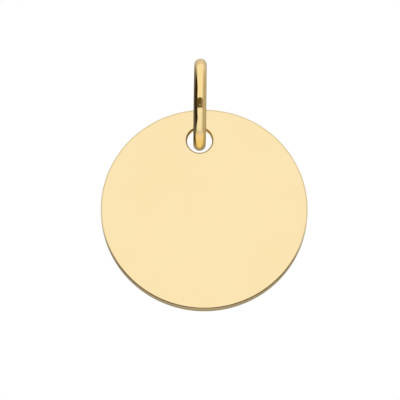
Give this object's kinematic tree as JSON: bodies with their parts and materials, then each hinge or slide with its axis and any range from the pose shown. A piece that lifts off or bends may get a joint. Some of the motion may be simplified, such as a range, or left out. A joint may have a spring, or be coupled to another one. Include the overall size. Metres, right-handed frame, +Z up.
{
  "type": "engravable disc pendant",
  "caption": "Round flat gold disc pendant, polished and bare for engraving, hanging by a drilled hole near its rim on a closed jump ring of round wire.",
  "frame": {"origin": "point inside the top of the jump ring where a chain bears, straight above the middle of the disc's hole", "axes": "+Z up along the hanging direction, -Y out of the disc's front face, +X to the viewer's right; the ring lies in the plane x = 0 and the disc in the plane y = 0"},
  "size_m": [0.016, 0.0072, 0.0203],
  "materials": {
    "ring_gold": "polished 14 ct yellow gold wire",
    "disc_gold": "polished 14 ct yellow gold sheet"
  },
  "bodies": {
    "ring": {"jump_ring": "ring_gold"},
    "disc": {"disc": "disc_gold"}
  },
  "joints": [
    {"name": "disc_swing", "type": "hinge", "parent": "ring", "child": "disc", "pos_m": [0, 0, -0.00572], "axis": [0, 1, 0], "range_deg": [-79.6, 88.4]}
  ]
}
